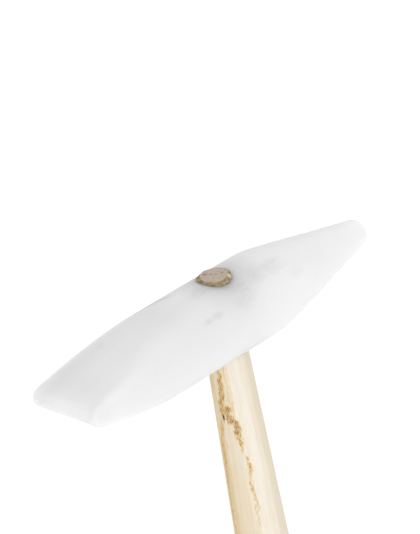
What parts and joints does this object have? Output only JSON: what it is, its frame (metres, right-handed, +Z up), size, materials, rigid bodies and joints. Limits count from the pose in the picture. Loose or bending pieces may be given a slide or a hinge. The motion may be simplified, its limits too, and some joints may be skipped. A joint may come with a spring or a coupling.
{
  "type": "forming mallet",
  "caption": "White plastic forming mallet with a wedge at one end and a blunt cone at the other, on a turned wooden handle.",
  "frame": {"origin": "centre of the handle's butt, which is also the middle of the bottom of the bounding box", "axes": "+Z up the handle's axis towards the head, +X towards the cone, -X towards the wedge, Y along the wedge's striking edge"},
  "size_m": [0.152, 0.032, 0.29],
  "materials": {
    "head": "satin white nylon, scraped by hand",
    "handle": "pale turned wood, fine sanded"
  },
  "bodies": {
    "root": {"head": "head", "handle": "handle"}
  },
  "joints": []
}
